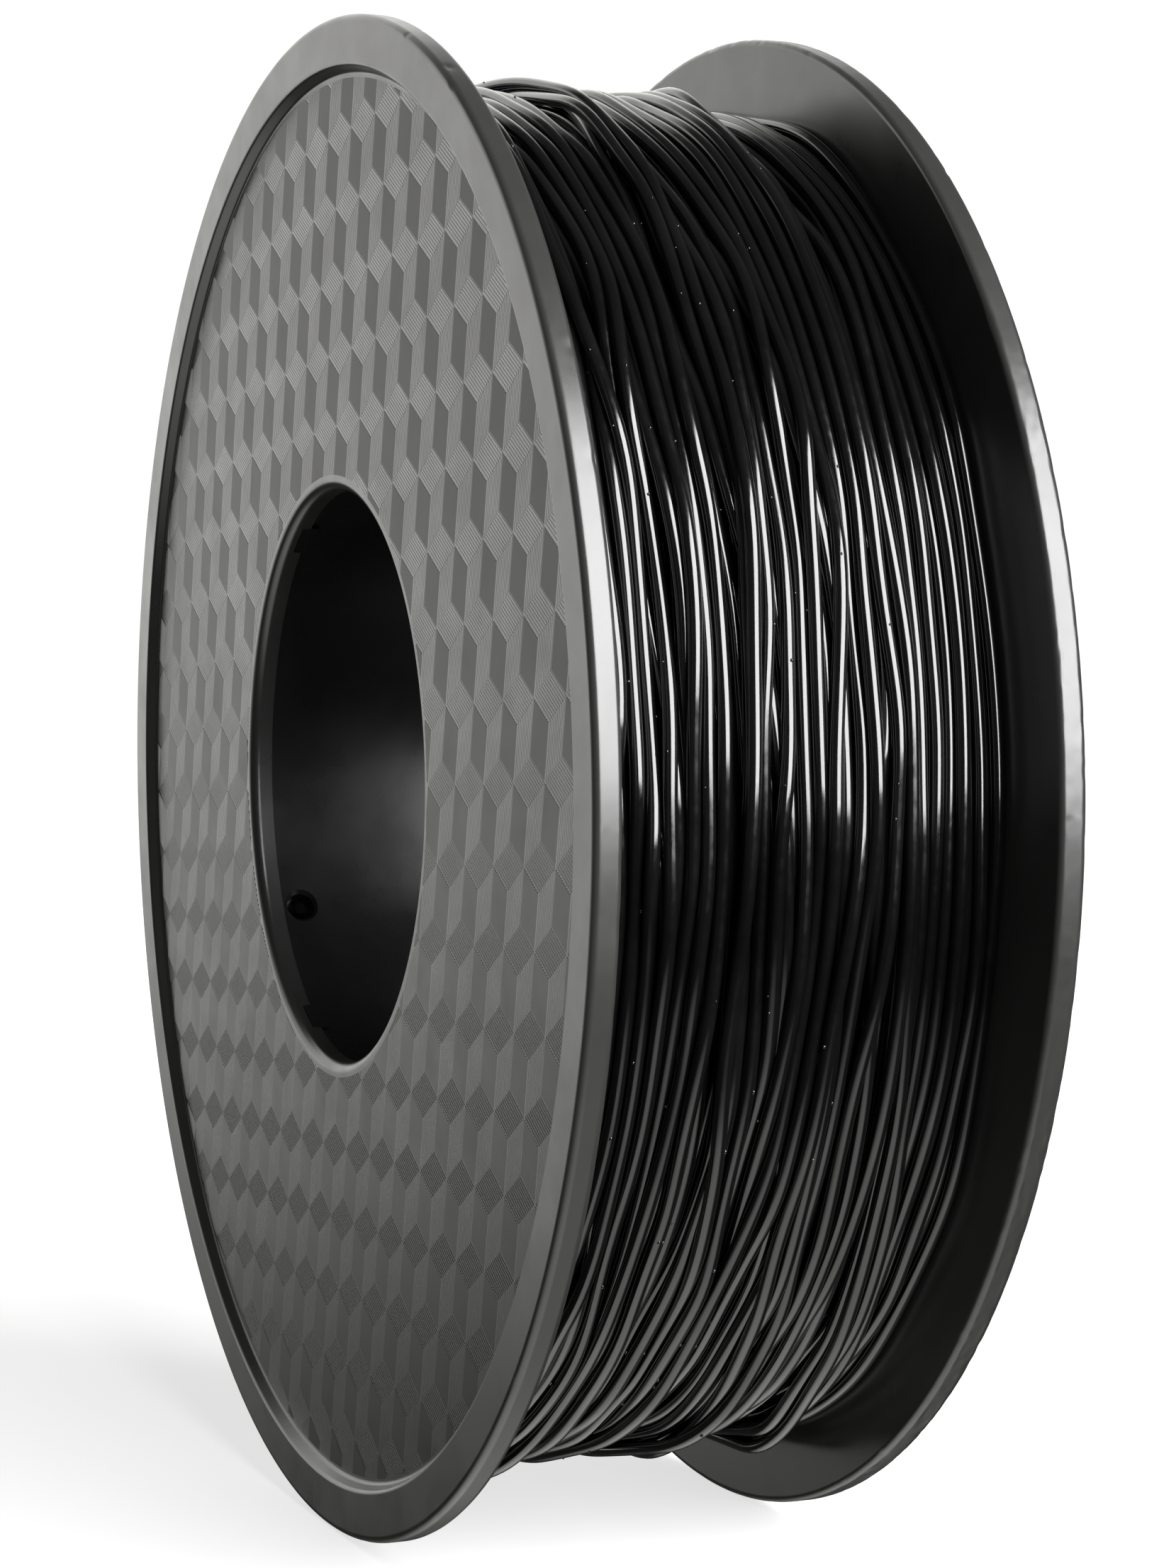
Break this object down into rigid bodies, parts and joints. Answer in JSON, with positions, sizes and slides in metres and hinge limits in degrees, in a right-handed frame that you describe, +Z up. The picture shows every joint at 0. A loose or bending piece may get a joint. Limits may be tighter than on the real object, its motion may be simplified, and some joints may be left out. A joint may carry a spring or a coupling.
{
  "type": "filament spool",
  "caption": "Filament spool: two round flanges snapped to a hollow barrel, wound almost full with thin plastic filament for a 3D printer.",
  "frame": {"origin": "centre of the spool's bore, half way along the barrel", "axes": "+Y along the spool's axis from the near flange to the rear flange; +Z up when the spool stands on its two rims"},
  "size_m": [0.2, 0.06, 0.2],
  "materials": {
    "spool_plastic": "satin moulded, textured web",
    "barrel_plastic": "satin moulded",
    "filament": "glossy extruded"
  },
  "bodies": {
    "root": {"flange_near": "spool_plastic", "flange_rear": "spool_plastic", "hub_barrel": "barrel_plastic", "filament_winding": "filament", "filament_start": "filament"}
  },
  "joints": []
}
